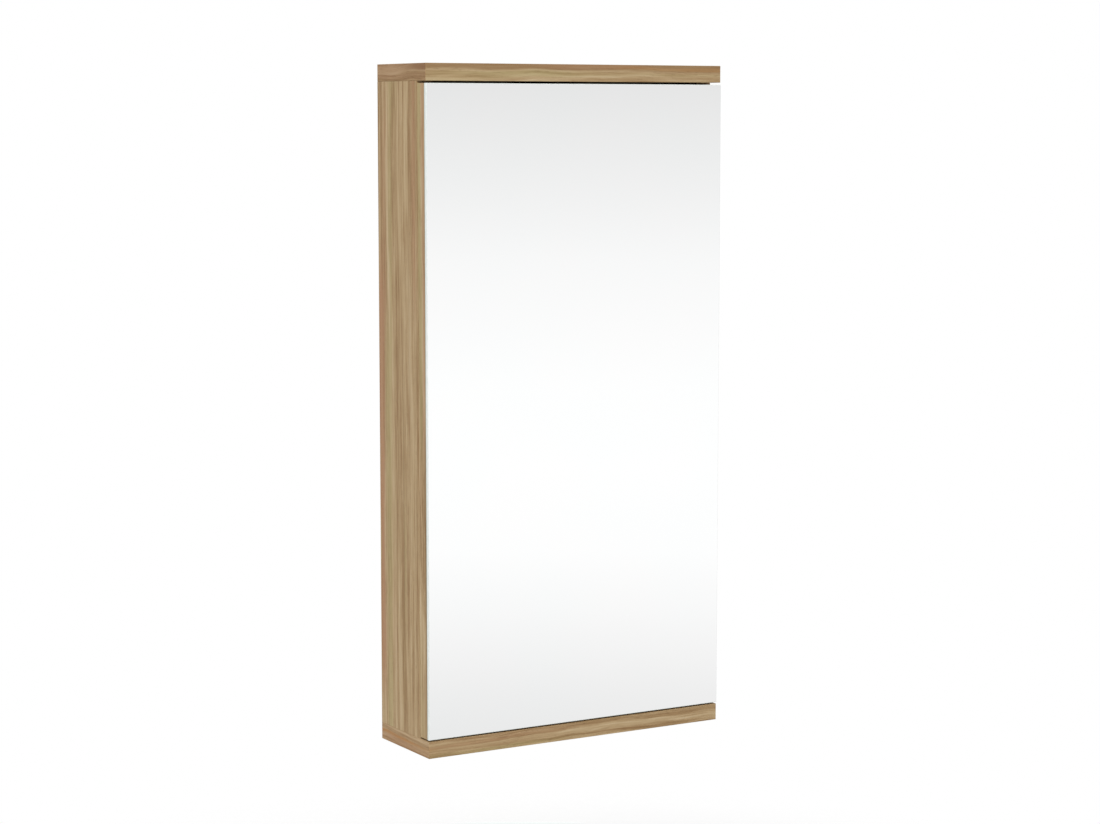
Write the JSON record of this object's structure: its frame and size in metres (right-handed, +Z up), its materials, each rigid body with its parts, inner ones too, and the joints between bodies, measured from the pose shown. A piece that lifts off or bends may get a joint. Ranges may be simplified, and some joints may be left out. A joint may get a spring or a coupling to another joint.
{
  "type": "corner mirror cabinet",
  "caption": "Tall five-sided cabinet with a full-height mirror door and glass shelves, which hangs in the right angle between two walls.",
  "frame": {"origin": "middle of the underside, halfway between the mirror's face and the rear corner", "axes": "+X to the right of someone facing the mirror, +Y from the mirror to the room's corner, +Z up"},
  "size_m": [0.3036, 0.241, 0.6],
  "materials": {
    "oak_board": "light oak decor on board, satin, grain along each piece",
    "mirror": "silvered float glass with polished edges",
    "shelf_glass": "clear toughened glass with polished edges",
    "plated_steel": "bright zinc plate",
    "cast_zinc": "bare zinc casting",
    "hinge_steel": "satin nickel plate",
    "beech_dowel": "bare beech",
    "cap_plastic": "oak-coloured plastic",
    "latch_plastic": "light grey plastic",
    "plunger_plastic": "dark plastic with a magnet in its tip",
    "soft_bumper": "soft clear bumper"
  },
  "bodies": {
    "cabinet": {"bottom_panel": "oak_board", "top_panel": "oak_board", "left_side_panel": "oak_board", "right_side_panel": "oak_board", "left_wall_panel": "oak_board", "right_wall_panel": "oak_board", "lower_shelf": "shelf_glass", "upper_shelf": "shelf_glass", "shelf_pins": "plated_steel", "cam_locks": "cast_zinc", "cam_bolts": "plated_steel", "cam_caps": "cap_plastic", "panel_dowels": "beech_dowel", "mitre_dowels": "beech_dowel", "corner_screws": "plated_steel", "lower_hinge_side_leaf": "hinge_steel", "lower_hinge_pin": "hinge_steel", "upper_hinge_side_leaf": "hinge_steel", "upper_hinge_pin": "hinge_steel", "hinge_side_screws": "plated_steel", "latch_housing": "latch_plastic", "latch_screws": "plated_steel", "latch_spring": "plated_steel"},
    "door": {"door_panel": "oak_board", "mirror_glass": "mirror", "lower_hinge_door_leaf": "hinge_steel", "upper_hinge_door_leaf": "hinge_steel", "hinge_door_screws": "plated_steel", "striker_plate": "plated_steel", "door_bumpers": "soft_bumper"},
    "plunger": {"latch_plunger": "plunger_plastic"}
  },
  "joints": [
    {"name": "door_hinge", "type": "hinge", "parent": "cabinet", "child": "door", "pos_m": [0.1512, -0.10325, 0.3], "axis": [0, 0, 1], "range_deg": [0, 135]},
    {"name": "plunger_slide", "type": "slide", "parent": "cabinet", "child": "plunger", "axis": [0, -1, 0], "range_m": [0, 0.012]}
  ],
  "couplings": [
    {"joint": "plunger_slide", "follows": "door_hinge", "m_per_rad": 0.00509}
  ]
}
